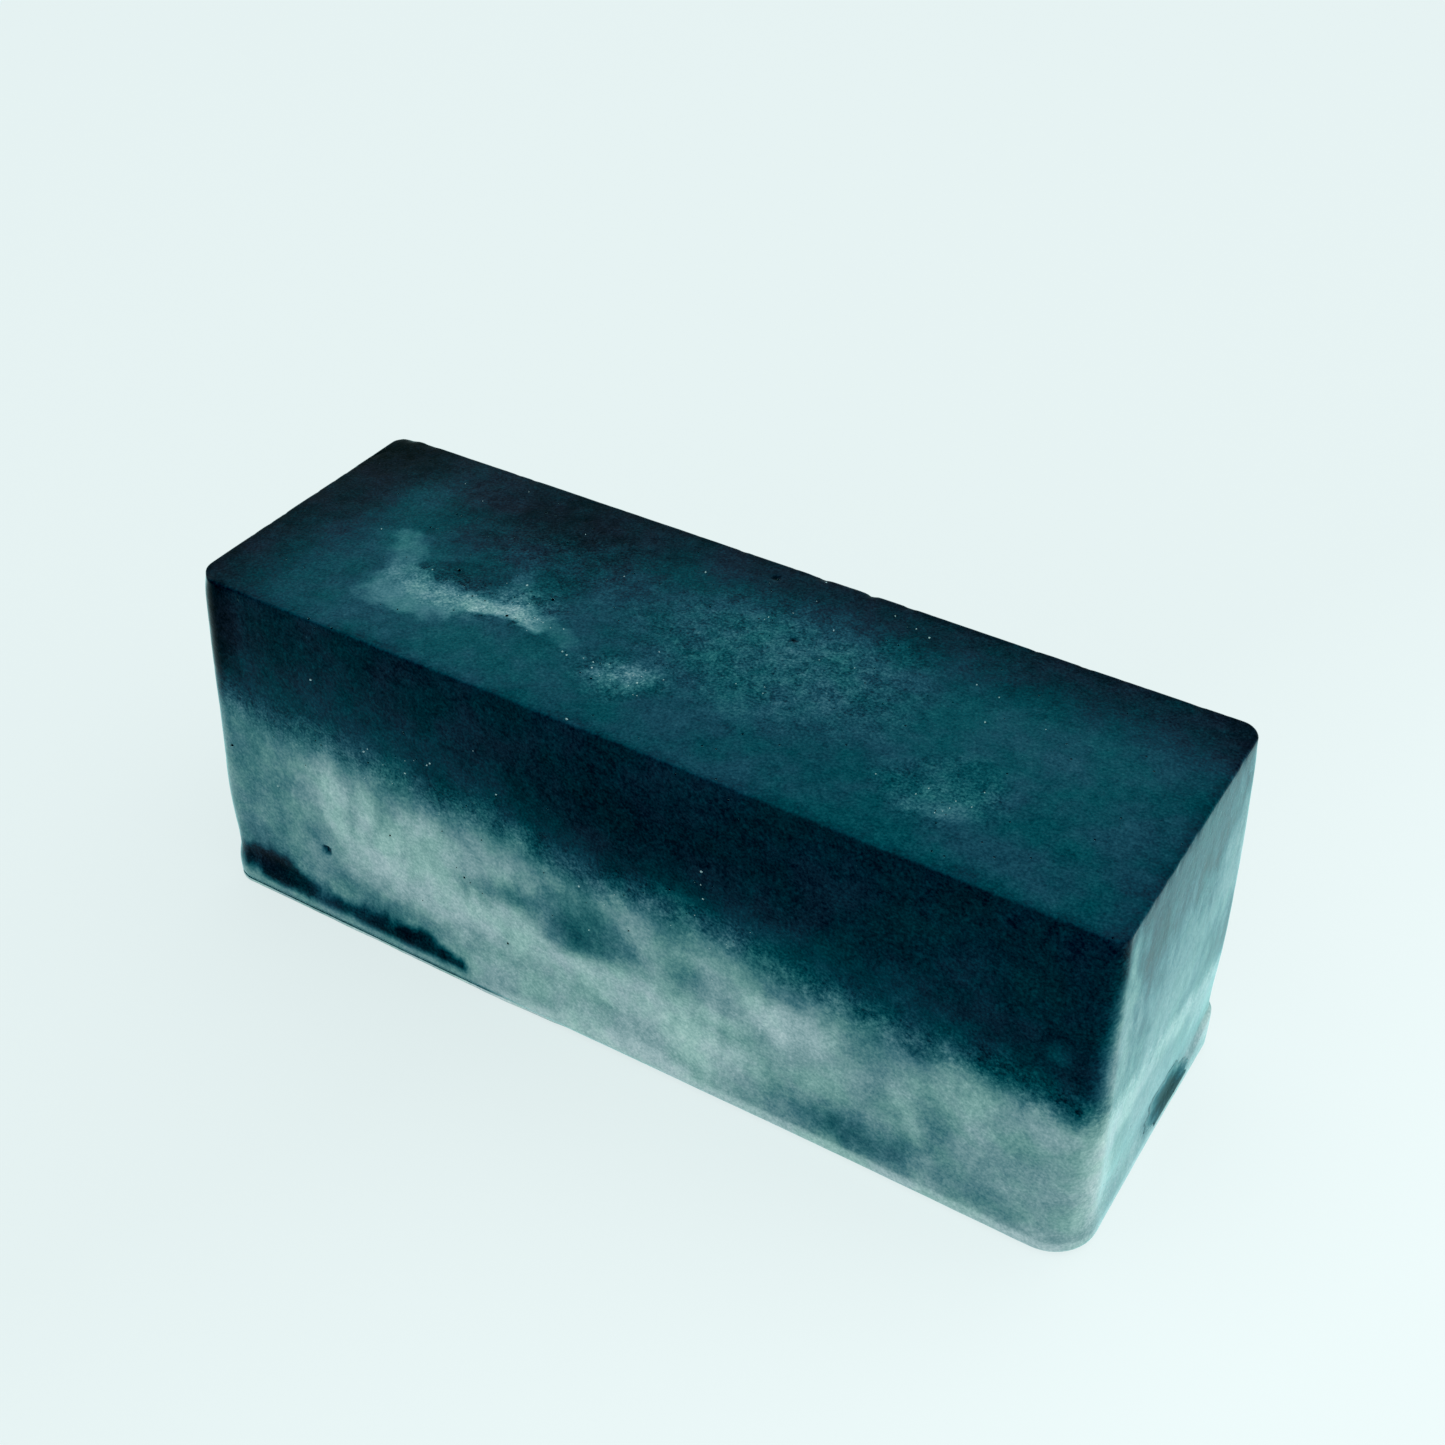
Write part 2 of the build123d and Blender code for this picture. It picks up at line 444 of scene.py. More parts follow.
def side_tone(points, across, level, softness, dark_marks, pale_marks, strip_strength):
    """A side face: the dark pour above a wandering level, the mottled pale one below, a strip at the foot."""
    swirled = wisped(points, 0.7, SIDE_SEED)
    u, v = swirled[:, across], swirled[:, 2]
    streaked = points * STREAKS
    fray = 0.22 * clouds(streaked, 1.1, 4, SIDE_SEED + 6)
    above = (v - level + 0.9 * clouds(streaked, 2.2, 4, SIDE_SEED + 10)) / softness
    dark = DARK_TONE + 0.02 * clouds(points, 6.0, seed=SIDE_SEED + 7)
    dark = with_marks(dark, u, v, dark_marks, fray) + MURK * (1 - ramp(above, 1.0, 8.0))
    pale = PALE_TONE + 0.06 * clouds(streaked, 4.0, 4, SIDE_SEED + 8)
    pale = with_marks(pale, u, v, pale_marks, fray) + 0.045 * clouds(streaked, 1.6, seed=SIDE_SEED + 9)
    strip = STRIP_TONE - STRIP_STAIN * foot_stain_and_shadow(points)
    pale = laid_on(pale, 1 - ramp(points[:, 2], STRIP_UNTIL, STRIP_GONE), strip, strip_strength)
    return pale + (dark - pale) * ramp(above, -3.8, 3.0)


def plane_level(points):
    """The height of the plane between the layers under or over each point."""
    return SEAM_HEIGHT + points[:, :2] @ SEAM_RISE


def base_tone(points):
    """The underside, which is plain pale binder, mottled."""
    return 0.6 + 0.1 * clouds(points, 7.0, 4, seed=71) + 0.04 * clouds(points, 1.5, seed=72)


CREASE_HEIGHT, CREASE_WIDTH, CREASE_SHADE = 0.48, 0.15, 0.55  # the painted shadow in the crease over the lip: its height, its width, and how much darker it makes the tone
# how much of the tone the painted shade inside the pits takes away
PIT_SHADE = 0.85


def tone_of(points, normals):
    """The tone all over the block, each face's own, blended round the corners, with painted shade in the pits
    and painted shadow in the crease over the lip.
    """
    x, y, z = points.T
    front_level, end_level, plane = level_at(x, FRONT_LEVEL), level_at(y, END_LEVEL), plane_level(points)
    front_softness = 1 - 0.5 * ramp(x, SOFT_UNTIL, HARD_FROM)
    faces = [  # which way along which axis each looks, how it is painted, and that function's details
        (1, 2, top_tone, ()),
        (-1, 2, base_tone, ()),
        (-1, 1, side_tone, (0, front_level, front_softness, DARK_FRONT, PALE_FRONT, 0.85)),
        (1, 0, side_tone, (1, end_level, 0.6, DARK_END, PALE_END, 0.9)),
        (1, 1, side_tone, (0, plane, 0.8, [], PALE_BACK, 0.5)),
        (-1, 0, side_tone, (1, plane, 0.8, [], PALE_LEFT, 0.5)),
    ]
    tone = np.zeros(len(points))
    for way, axis, paint, details in faces:
        on = np.flatnonzero(way * normals[:, axis] > 1e-6)
        picked = [detail[on] if isinstance(detail, np.ndarray) else detail for detail in details]
        tone[on] += normals[on, axis] ** 2 * paint(points[on], *picked)
    # painted shade inside the pits
    for place, radius, _ in PITS:
        away = (((points - place) / (1.2 * radius)) ** 2).sum(axis=1)
        tone -= PIT_SHADE * np.exp(-(away**2)) * tone
    # painted shadow along the crease over the lip, where the foot is stained
    crease_shadow = foot_stain_and_shadow(points) * bell(z, CREASE_HEIGHT, CREASE_WIDTH) * (normals[:, 2] > -0.9)
    return np.maximum(tone - CREASE_SHADE * crease_shadow, 0.0)


BROKEN_LEAST, BROKEN_END = 0.22, 0.20  # everywhere, and added on the right end
BROKEN_MIXED, BROKEN_PALE = 0.75, 0.33  # where the two pours mix, and on the pale one


def broken(points, normals):
    """How broken up the surface is: by places on the top, where the two pours mix, and a little elsewhere."""
    x, y, _ = wisped(points, 0.9, 60).T
    level = np.where(normals[:, 1] < -0.5, level_at(points[:, 0], FRONT_LEVEL), plane_level(points))
    above = points[:, 2] - level
    amount = BROKEN_LEAST + BROKEN_END * np.maximum(normals[:, 0], 0)
    for centre, radii, turn, most in BROKEN_TOP:
        amount = np.maximum(amount, most * dab(x, y, centre, radii, turn) * np.maximum(normals[:, 2], 0))
    walls = 1 - normals[:, 2] ** 2
    mixed, pale = BROKEN_MIXED * bell(above, 0.5, 2.2), BROKEN_PALE * ramp(-above, -1, 2)
    return np.maximum(amount, walls * np.maximum(mixed, pale))


# --- The relief -----------------------------------------------------------------------------------------

PITS = [  # dents with painted shade inside them: place, radius, depth
    ((-27.4, -12.9, 7.9), 0.32, 0.40),
    ((-27.1, -12.9, 7.8), 0.28, 0.30),
    ((-12.0, 13.0, 12.4), 0.45, 0.30),
    ((-38.2, 3.5, 8.2), 0.45, 0.28),
    ((30.5, 12.9, 22.0), 0.5, 0.30),
    ((0.0, 10.5, 30.4), 0.24, 0.12),
    ((5.1, 4.3, 30.4), 0.24, 0.12),
]

DENTS = PITS + [  # a depth below 0 is a swelling
    ((-37.3, -12.4, 30.4), 0.9, 0.25),
    ((-37.4, 12.2, 30.4), 0.6, 0.08),
    ((-36.2, 12.5, 30.4), 0.5, 0.15),
    ((3.2, 12.5, 30.4), 0.35, 0.10),
    ((7.2, 12.5, 30.4), 0.35, 0.12),
    ((21.0, -12.5, 30.4), 0.6, 0.12),
    ((-13.9, -12.9, 10.3), 0.5, 0.10),
    ((37.6, 12.3, 29.6), 0.7, 0.15),
    ((38.4, 13.0, 7.0), 3.0, 0.15),
    ((-38.2, -12.9, 9.5), 4.0, -0.16),
]


def edge_distance(points):
    """How far each point is from the top rim, and from the nearest upright corner's line."""
    half = BASE_HALF - np.outer(points[:, 2] / HEIGHT, LEAN) + 0.5 * BELLY
    inset = np.maximum(half - np.abs(points[:, :2]), 0.0)
    to_rim = np.hypot(inset.min(axis=1), HEIGHT - points[:, 2])
    return to_rim, np.hypot(inset[:, 0], inset[:, 1])


FAR_CORNER, NEAR_CORNER = (38.0, 13.0), (38.5, -13.0)  # of the right end's foot
FLARE_OUT, FLARE_TOP = 0.27, 4.4


def flare(points):
    """How far the foot flares out over the wall: in a step at the far corner, and faintly at the near one."""
    x, y, z = points.T
    to_far_corner = np.hypot(x - FAR_CORNER[0], y - FAR_CORNER[1])
    start = FLARE_TOP - 0.6 * ramp(to_far_corner, 3, 9)
    end = start - 0.5 - 1.8 * ramp(to_far_corner, 1, 6)
    faded = 1 - 0.75 * dab(x, y, NEAR_CORNER, (46, 26), core=0.45)
    return FLARE_OUT * faded * (1 - ramp(z, end, start)) * ramp(z, -0.4, 0.6)


COVE_DEPTH, COVE_HEIGHT, COVE_WIDTH = 0.05, 5.0, 1.8  # the hollow over the flared foot
WAVES, RIPPLES, GRAIN = 0.032, 0.009, 0.005  # how high the surface's waves are, from the widest
EDGE_WEAR, EDGE_CRUMBLE = 0.01, 0.05  # how much each edge is worn down, and how much more here and there


def relief(points, normals):
    """How far the real surface stands out from the plain block."""
    wall = normals[:, 0] ** 2 + normals[:, 1] ** 2
    foot = flare(points) - COVE_DEPTH * bell(points[:, 2], COVE_HEIGHT, COVE_WIDTH)
    waves = WAVES * clouds(points, 11.0, seed=1) + RIPPLES * clouds(points, 2.4, seed=2)
    grain = GRAIN * clouds(points, 0.7, 2, seed=3)
    to_rim, to_corner = edge_distance(points)
    near_edge = bell(to_rim, 0, 0.6) + 0.6 * bell(to_corner, 0, 1.2)
    crumbled = ramp(clouds(points, 1.3, seed=4), 0.15, 0.65)
    out = wall * foot + waves + grain - near_edge * (EDGE_WEAR + EDGE_CRUMBLE * crumbled)
    for place, radius, depth in DENTS:
        out -= depth * np.exp(-(((points - place) / radius) ** 2).sum(axis=1))
    return out


def raised(points, normals):
    """The points moved to the real surface, and never below the floor, from their normals or a shared one."""
    normals = np.broadcast_to(normals, points.shape)
    moved = points + relief(points, normals)[:, None] * normals
    moved[:, 2] = np.maximum(moved[:, 2], 0.0)
    return moved


# --- Meshes ---------------------------------------------------------------------------------------------

def framed_grid(ring, dtype):
    """A grid over a cap with only its rim filled in, from a ring of values, one for each column."""
    grid = np.zeros((GRID_X + 1, GRID_Y + 1) + ring.shape[1:], dtype)
    right, back, left = GRID_X, GRID_X + GRID_Y, 2 * GRID_X + GRID_Y
    closed = np.concatenate([ring, ring[:1]])
    grid[:, 0] = closed[: right + 1]
    grid[-1, :] = closed[right : back + 1]
    grid[:, -1] = closed[back : left + 1][::-1]
    grid[0, :] = closed[left:][::-1]
    return grid


def cap_points(ring):
    """Evenly spread points inside a ring of points, as a grid that meets it at its rim."""
    grid = framed_grid(ring, float)
    s = np.linspace(0, 1, GRID_X + 1)[:, None, None]
    t = np.linspace(0, 1, GRID_Y + 1)[None, :, None]
    lengthways = (1 - s) * grid[:1] + s * grid[-1:]
    crossways = (1 - t) * grid[:, :1] + t * grid[:, -1:]
    front, back = (1 - s) * grid[0, 0] + s * grid[-1, 0], (1 - s) * grid[0, -1] + s * grid[-1, -1]
    corners = (1 - t) * front + t * back
    return (lengthways + crossways - corners)[1:-1, 1:-1].reshape(-1, 3)


def ring_numbers(row_count):
    """The vertex numbers of a stack of the skin's rings."""
    return np.arange(row_count * COLUMNS).reshape(row_count, COLUMNS)


def ring_quads(numbers):
    """The quads between neighbouring rings of vertex numbers. They face outwards where the rings rise."""
    onward = np.roll(numbers, -1, axis=1)
    return np.stack([numbers[:-1], onward[:-1], onward[1:], numbers[1:]], axis=-1).reshape(-1, 4)


def cap_faces(ring_start, inner_start, facing_up):
    """The quads over a cap, from its rim's first vertex number and its inner vertices' first number."""
    grid = framed_grid(np.arange(ring_start, ring_start + COLUMNS), int)
    inner = np.arange((GRID_X - 1) * (GRID_Y - 1)) + inner_start
    grid[1:-1, 1:-1] = inner.reshape(GRID_X - 1, GRID_Y - 1)
    quads = np.stack([grid[:-1, :-1], grid[1:, :-1], grid[1:, 1:], grid[:-1, 1:]], axis=-1).reshape(-1, 4)
    return quads if facing_up else quads[:, ::-1]


def new_piece(name, points, faces, attributes, material, replaced=None):
    """A smooth-shaded mesh piece that rides on the body, from points in millimetres and a list of faces."""
    mesh = bpy.data.meshes.new(name)
    mesh.from_pydata((points * MM).tolist(), [], faces)
    for label, values in attributes.items():
        mesh.attributes.new(label, "FLOAT", "POINT").data.foreach_set("value", values.astype(np.float32))
    mesh.shade_smooth()
    mesh.materials.append(material)
    piece = bpy.data.objects.new(name, mesh)
    bpy.context.scene.collection.objects.link(piece)
    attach(piece, "root")
    if replaced:
        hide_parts(replaced)
    return piece


def mark_sharp(mesh, ring_start):
    """Keeps the seam's hidden cap from bending the light on the wall beside it."""
    sharp = mesh.attributes.new("sharp_edge", "BOOLEAN", "EDGE").data
    last = ring_start + COLUMNS - 1
    for edge in mesh.edges:
        a, b = edge.vertices
        if ring_start <= a <= last and ring_start <= b <= last:
            sharp[edge.index].value = True


HIDDEN_TONE = 0.3  # of the cap inside the block


def layer_piece(name, rows, seam_first, material, node):
    """One layer of the block: its rings of skin, its outer cap, and the hidden cap at the seam."""
    points = np.concatenate([row[0] for row in rows])
    normals = np.concatenate([row[1] for row in rows])
    last_start = len(points) - COLUMNS
    seam_start, outer_start = (0, last_start) if seam_first else (last_start, 0)
    outer = cap_points(points[outer_start : outer_start + COLUMNS])
    outer_normals = np.broadcast_to((0.0, 0.0, 1.0 if seam_first else -1.0), outer.shape)
    shown = np.concatenate([points, outer])
    shown_normals = np.concatenate([normals, outer_normals])
    moved = raised(shown, shown_normals)
    seam = cap_points(moved[seam_start : seam_start + COLUMNS])
    faces = np.concatenate([
        ring_quads(ring_numbers(len(rows))),
        cap_faces(outer_start, len(points), facing_up=seam_first),
        cap_faces(seam_start, len(shown), facing_up=not seam_first),
    ])
    attributes = {
        "tone": np.concatenate([tone_of(shown, shown_normals), np.full(len(seam), HIDDEN_TONE)]),
        "broken": np.concatenate([broken(shown, shown_normals), np.zeros(len(seam))]),
    }
    piece = new_piece(name, np.concatenate([moved, seam]), faces.tolist(), attributes, material, node)
    mark_sharp(piece.data, seam_start)


LIP_HEIGHT = 0.23  # of the bead's middle
LIP_RADIUS, LIP_THINNEST, LIP_THICKEST = 0.19, 0.12, 0.26
LIP_OUT, LIP_SINK = 0.06, 0.62  # how far the middle is outside the block, and how far it sinks to be hidden
LIP_TURNS = np.linspace(-0.75 * math.pi, 0.85 * math.pi, 12)  # round the bead, from below to above its root
LIP_TONE = 0.77


def flash_lip(material):
    """The rim of flash: a thin ragged bead round the foot, rooted inside the block."""
    foot = np.column_stack([outline(0.0), np.zeros(COLUMNS)])
    radius = np.clip(LIP_RADIUS + 0.05 * clouds(foot, 3.0, 4, seed=31), LIP_THINNEST, LIP_THICKEST)
    near_side = dab(foot[:, 0], foot[:, 1], (34, -13), (52, 20))
    hidden = np.maximum(ramp(near_side, 0.05, 0.5), ramp(foot[:, 0], 20, 30))
    end_stained = dab(foot[:, 1], foot[:, 0], (2.6, 38.4), (4.6, 3.0))
    crease_shadowed = foot_stain_and_shadow(foot)
    rows, tones = [], []
    for turn in LIP_TURNS:
        z = np.maximum(LIP_HEIGHT + 1.1 * radius * math.sin(turn), 0.0)
        reach = radius * math.cos(turn) + LIP_OUT - LIP_SINK * hidden
        rows.append(np.column_stack([outline(z) + reach[:, None] * OUT, z]))
        # painted shadow: the bead's underside is darker where it meets the floor, more so where the foot is
        # stained, and its top is darker in the crease there
        under, over = (0.32 + 0.2 * crease_shadowed) * (turn < -0.3), CREASE_SHADE * crease_shadowed * (turn > 0.7)
        tones.append(LIP_TONE - under - over - 0.12 * end_stained)
    points = np.concatenate(rows)
    numbers = ring_numbers(len(rows))
    faces = ring_quads(np.concatenate([numbers, numbers[:1]])).tolist()
    tones = np.concatenate(tones) + 0.06 * clouds(points, 5.0, seed=34) + 0.08 * clouds(points, 1.2, seed=35)
    attributes = {"tone": np.maximum(tones, 0.05), "broken": np.full(len(points), 0.3)}
    new_piece("flash_lip_rim", points, faces, attributes, material, "flash_lip")


# --- The stain ------------------------------------------------------------------------------------------

STAIN_CENTRE, STAIN_RADII, STAIN_TURN = (2.8, 3.2), (4.4, 2.2), math.radians(-22)  # in (y, z)
STAIN_FOOT = 1.35  # it keeps this far above the floor
STAIN_SIDES, STAIN_RINGS = 96, 16
STAIN_OUT, STAIN_IN = 0.015, 0.15  # how far its two skins lie outside and inside the block's surface
STAIN_DUST, STAIN_GLOSS = 0.62, 1.0  # less of both than on the block


def end_stain(material):
    """A stain with less dust on it, at the foot of the right end: a thin closed skin, ragged at the rim."""
    turns = np.linspace(0, 2 * math.pi, STAIN_SIDES, endpoint=False)
    rim = np.column_stack([np.cos(turns), np.sin(turns), np.zeros(STAIN_SIDES)])
    ragged = rim[:, :2] * (1 + 0.28 * clouds(rim, 0.35, 4, seed=81))[:, None] * STAIN_RADII
    c, s = math.cos(STAIN_TURN), math.sin(STAIN_TURN)
    rings, tones = [], []
    for reach in np.linspace(1, 0.04, STAIN_RINGS):
        along, up = reach * ragged.T
        y, z = STAIN_CENTRE[0] + along * c - up * s, STAIN_CENTRE[1] + along * s + up * c
        z = np.maximum(z, STAIN_FOOT + 0.1 * reach)
        rings.append(np.column_stack([wall_at(z, 0), y, z]))
        paler = ramp(reach, 0.25, 1.0) * ramp(z, STAIN_FOOT, STAIN_FOOT + 1.5)
        tones.append(0.08 + 0.48 * paler)
    surface = raised(np.concatenate(rings), (1.0, 0.0, 0.0))
    points = np.concatenate([surface + (STAIN_OUT, 0, 0), surface - (STAIN_IN, 0, 0)])
    over = np.arange(len(surface)).reshape(STAIN_RINGS, STAIN_SIDES)
    under = over + len(surface)
    quads = [ring_quads(over), ring_quads(under)[:, ::-1], ring_quads(np.stack([under[0], over[0]]))]
    faces = np.concatenate(quads).tolist() + [over[-1].tolist(), under[-1, ::-1].tolist()]
    attributes = {"tone": np.tile(np.concatenate(tones), 2), "broken": np.full(len(points), 0.5)}
    new_piece("end_foot_stain", points, faces, attributes, material)


# --- Loose grit -----------------------------------------------------------------------------------------
# Places are (x, y) on the top face and (x, z) on the front face.

PALE_GRIT_TOP = [
    (7.0, 6.8), (12.0, 10.2), (13.3, 9.7), (3.5, 12.0), (-29.5, 0.0), (-8.2, -5.8), (-7.7, -6.0),
    (-5.6, -5.7), (-5.3, -6.3), (-1.6, -6.1), (-3.4, -12.1), (-22.6, -2.4), (-15.3, -0.3), (-4.9, 8.3),
    (21.0, 2.8),
]
PALE_GRIT_FRONT = [
    (-21.9, 20.2), (-21.5, 20.6), (-18.0, 19.8), (-15.8, 21.5), (-15.5, 21.8), (-9.5, 21.5), (7.9, 21.2),
    (8.1, 20.0), (7.9, 22.4), (-2.4, 16.1), (9.0, 12.7), (-1.6, 12.2), (-31.6, 12.6), (-26.5, 25.0),
]
DARK_CRUMBS_TOP = [
    (-20.8, -1.4), (-12.6, -0.8), (-14.2, -4.3), (0.2, 10.4), (-26.2, -12.3), (-24.0, -12.35),
]
DARK_CRUMBS_FRONT = [(-9.4, 6.7), (-13.1, 11.8), (-36.0, 14.9)]
DRIFTS_TOP = [  # centre, spread, how many pale grains, how many dark crumbs
    ((-13.8, -3.4), (2.6, 0.9), 16, 10),
    ((-3.0, -5.8), (2.0, 1.2), 12, 6),
    ((21.5, -6.5), (2.4, 1.2), 8, 4),
    ((-14.0, 5.0), (9.0, 4.5), 8, 34),
    ((8.0, 4.0), (8.0, 4.5), 14, 18),
]
DRIFTS_FRONT = [
    ((-18.0, 19.0), (5.0, 2.2), 8, 20),
    ((4.0, 17.0), (6.0, 2.2), 8, 16),
    ((-18.0, 12.0), (7.0, 3.0), 0, 6),
]
GRAINS = [  # name, tone, slot, size where placed one by one and in the drifts, places on the top and the front
    ("pale_grit", 0.68, "pale_binder", (0.080, 0.050), PALE_GRIT_TOP, PALE_GRIT_FRONT),
    ("dark_crumbs", 0.03, "charcoal", (0.120, 0.055), DARK_CRUMBS_TOP, DARK_CRUMBS_FRONT),
]
DRIFT_HALF_LENGTH, DRIFT_HALF_WIDTH = 36.5, 12.0  # the scattered grains keep within these
DRIFT_LOWEST, DRIFT_HIGHEST = 2.0, 29.0


def on_top(places):
    """Points on the worn top face, from (x, y) places."""
    return raised(np.array([(x, y, HEIGHT) for x, y in places]), (0.0, 0.0, 1.0))


def on_front(places):
    """Points on the worn front face, from (x, z) places."""
    return raised(np.array([(x, -wall_at(z, 1), z) for x, z in places]), (0.0, -1.0, 0.0))


def icosahedron():
    """The twelve corners of an icosahedron, at a distance of 1, and its triangles, facing outwards."""
    golden, edge = (1 + math.sqrt(5)) / 2, 2.0
    corners = np.array([(0, a, b * golden) for a in (-1, 1) for b in (-1, 1)])
    corners = np.concatenate([np.roll(corners, turn, axis=1) for turn in range(3)])
    joined = np.abs(np.linalg.norm(corners[:, None] - corners, axis=2) - edge) < 0.01
    faces = []
    for i, j, k in itertools.combinations(range(12), 3):
        if joined[i, j] and joined[j, k] and joined[i, k]:
            outward = np.dot(np.cross(corners[j] - corners[i], corners[k] - corners[i]), corners[i]) > 0
            faces.append((i, j, k) if outward else (i, k, j))
    return corners / np.linalg.norm(corners[0]), faces


def crumbs(name, places, sizes, tone, material, dice):
    """Closed little angular grains, each half sunk into the skin, joined as one piece."""
    ball, ball_faces = icosahedron()
    points, faces = [], []
    for number, (place, size) in enumerate(zip(places, sizes)):
        shape = ball * dice.uniform(0.75, 1.2, (12, 1)) * dice.uniform(0.7, 1.2, 3)
        points.append(place + size * shape)
        faces += [tuple(corner + 12 * number for corner in face) for face in ball_faces]
    points = np.concatenate(points)
    points[:, 2] = np.maximum(points[:, 2], 0.0)
    attributes = {"tone": np.full(len(points), tone), "broken": np.zeros(len(points))}
    new_piece(name, points, faces, attributes, material)


def drift_places(drifts, column, lowest, highest, dice):
    """Places scattered round each drift's centre, as many as one of its columns says, within a face."""
    scattered = []
    for centre, spread, *counts in drifts:
        scattered += [tuple(dice.normal(centre, spread)) for _ in range(counts[column])]
    return [(a, b) for a, b in scattered if abs(a) < DRIFT_HALF_LENGTH and lowest < b < highest]


def grit():
    """Pale binder grit and dark crumbs, on the faces that are clearly seen."""
    dice = np.random.default_rng(11)
    for column, (name, tone, slot, (placed, drifted), tops, fronts) in enumerate(GRAINS):
        more_tops = drift_places(DRIFTS_TOP, column, -DRIFT_HALF_WIDTH, DRIFT_HALF_WIDTH, dice)
        more_fronts = drift_places(DRIFTS_FRONT, column, DRIFT_LOWEST, DRIFT_HIGHEST, dice)
        places = np.concatenate([on_top(tops + more_tops), on_front(fronts + more_fronts)])
        counts = [len(tops), len(more_tops), len(fronts), len(more_fronts)]
        sizes = np.repeat([placed, drifted, placed, drifted], counts) * dice.uniform(0.8, 1.4, len(places))
        crumbs(name, places, sizes, tone, cast_material(name + "_paint"), dice)


# --- Materials ------------------------------------------------------------------------------------------

TONE_COLOURS = [  # tone, then linear red, green and blue
    (0.00, (0.0012, 0.0020, 0.0024)),
    (0.10, (0.0044, 0.0094, 0.0155)),
    (0.16, (0.0060, 0.0210, 0.0325)),
    (0.22, (0.0058, 0.0390, 0.0565)),
    (0.29, (0.0105, 0.0680, 0.0915)),
    (0.37, (0.0260, 0.1130, 0.1350)),
    (0.45, (0.0580, 0.1700, 0.1930)),
    (0.54, (0.1250, 0.2570, 0.2660)),
    (0.62, (0.2050, 0.3480, 0.3480)),
    (0.72, (0.3350, 0.4850, 0.4800)),
    (0.84, (0.5300, 0.6700, 0.6500)),
    (1.00, (0.8500, 0.9500, 0.9300)),
]


class Nodes:
    """A material's node tree, with short ways to add to it."""

    def __init__(self, name):
        self.material = bpy.data.materials.new(name)
        self.material.use_nodes = True
        self.tree = self.material.node_tree
        self.tree.nodes.clear()

    def add(self, kind, inputs=(), **settings):
        """A new node, with values or links for its inputs."""
        node = self.tree.nodes.new(kind)
        for key, value in settings.items():
            setattr(node, key, value)
        for key, value in dict(inputs).items():
            self.put(node.inputs[key], value)
        return node

    def put(self, socket, value):
        """A value or a link, into a socket."""
        if isinstance(value, bpy.types.NodeSocket):
            self.tree.links.new(value, socket)
        else:
            socket.default_value = value

    def attribute(self, name):
        """A number that the mesh holds for each vertex."""
        return self.add("ShaderNodeAttribute", attribute_name=name).outputs["Fac"]

    def math(self, operation, *values, clamp=False):
        """The result of a sum on numbers."""
        return self.add("ShaderNodeMath", enumerate(values), operation=operation, use_clamp=clamp).outputs[0]

    def vector_math(self, operation, inputs):
        """The result of a sum on vectors."""
        return self.add("ShaderNodeVectorMath", inputs, operation=operation).outputs

    def swung(self, value, pattern, middle, amount):
        """A value moved up and down by a pattern, round the pattern's middle."""
        return self.math("MULTIPLY_ADD", self.math("SUBTRACT", pattern, middle), amount, value)

    def mix_colour(self, blend, share, first, second):
        """Two colours mixed, or one laid over the other."""
        inputs = {0: share, 6: first, 7: second}
        return self.add("ShaderNodeMix", inputs, data_type="RGBA", blend_type=blend).outputs[2]

    def noise(self, place, scale, detail, roughness):
        """Soft noise from 0 to 1."""
        inputs = {"Vector": place, "Scale": scale, "Detail": detail, "Roughness": roughness}
        return self.add("ShaderNodeTexNoise", inputs).outputs["Fac"]

    def bent(self, place, scale, amount):
        """A place pushed sideways by noise, for bending a pattern."""
        pushes = self.add("ShaderNodeTexNoise", {"Vector": place, "Scale": scale, "Detail": 2.0})
        push = self.vector_math("SCALE", {0: pushes.outputs["Color"], "Scale": amount})[0]
        return self.vector_math("ADD", {0: place, 1: push})[0]

    def cells(self, place, scale):
        """Angular patches, each one even value from 0 to 1."""
        cell = self.add("ShaderNodeTexVoronoi", {"Vector": place, "Scale": scale})
        return self.add("ShaderNodeSeparateColor", {0: cell.outputs["Color"]}).outputs[0]

    def pores(self, place, scale, radius):
        """1 inside small round pores, in some of the cells of a pattern, and 0 elsewhere."""
        cell = self.add("ShaderNodeTexVoronoi", {"Vector": place, "Scale": scale})
        near = self.math("LESS_THAN", cell.outputs["Distance"], radius * scale)
        picked = self.add("ShaderNodeSeparateColor", {0: cell.outputs["Color"]}).outputs[1]
        return self.math("MULTIPLY", near, self.math("GREATER_THAN", picked, 0.55))

    def ramp(self, value, stops):
        """A value turned into a colour, by a list of (value, colour)."""
        node = self.add("ShaderNodeValToRGB", {"Fac": value})
        elements = node.color_ramp.elements
        while len(elements) < len(stops):
            elements.new(0.5)
        for element, (position, colour) in zip(elements, stops):
            element.position, element.color = position, (*colour, 1.0)
        return node.outputs["Color"]


# What the hue drifts between, by the value of a slow noise
DARK_TINTS = [(0.38, (0.70, 1.01, 0.94)), (0.62, (1.40, 0.985, 1.06))]
PALE_TINTS = [(0.40, (0.93, 1.01, 0.97)), (0.60, (1.06, 0.99, 1.04))]

# How many features each pattern has for each millimetre
GRAIN_SCALE, SPECKLE_SCALE, MOTTLE_SCALE, HUE_SCALE = 4.8, 2.2, 0.8, 0.22
FLAKE_SCALES, PORE_SCALE = (1.3, 2.9), 0.75

PORE_RADIUS = 0.085
BUMP_DEPTH = 0.03
GLOSS = 1.085  # the surface's index of refraction, low because it is dusty
GLOSS_TINT = (0.05, 0.40, 0.50, 1)
DUST_TINT = (0.42, 0.95, 0.97, 1)


